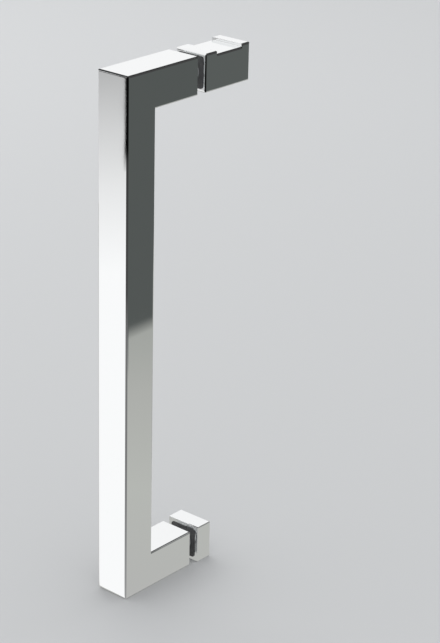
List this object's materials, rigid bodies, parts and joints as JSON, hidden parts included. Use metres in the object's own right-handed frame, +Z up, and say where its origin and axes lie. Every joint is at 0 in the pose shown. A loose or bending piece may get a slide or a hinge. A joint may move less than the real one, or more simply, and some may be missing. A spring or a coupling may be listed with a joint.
{
  "type": "shower door handle",
  "caption": "Square D-shaped pull handle for a glass shower door, clamped through the glass, with a robe hook behind the upper arm and a square cap behind the lower one.",
  "frame": {"origin": "on the dry face of the door glass, midway between the two fixing centres", "axes": "+Z up along the pull bar, +Y through the glass towards the wet side, +X to the right as seen by someone facing the dry side"},
  "size_m": [0.02, 0.0856, 0.2695],
  "materials": {
    "chrome": "mirror polished",
    "steel": "turned",
    "brass": "turned",
    "pad": "milky soft plastic",
    "rubber": "matt black"
  },
  "bodies": {
    "root": {"grip": "chrome", "hook": "chrome", "rear_cap": "chrome", "upper_end_plug": "steel", "lower_end_plug": "steel", "upper_stud": "steel", "lower_stud": "steel", "upper_washer": "steel", "lower_washer": "steel", "upper_grub_screw": "steel", "lower_grub_screw": "steel", "upper_clamp_nut": "brass", "lower_clamp_nut": "brass", "upper_front_pad": "pad", "lower_front_pad": "pad", "upper_rear_pad": "rubber", "lower_rear_pad": "rubber", "upper_sleeve": "pad", "lower_sleeve": "pad"}
  },
  "joints": []
}
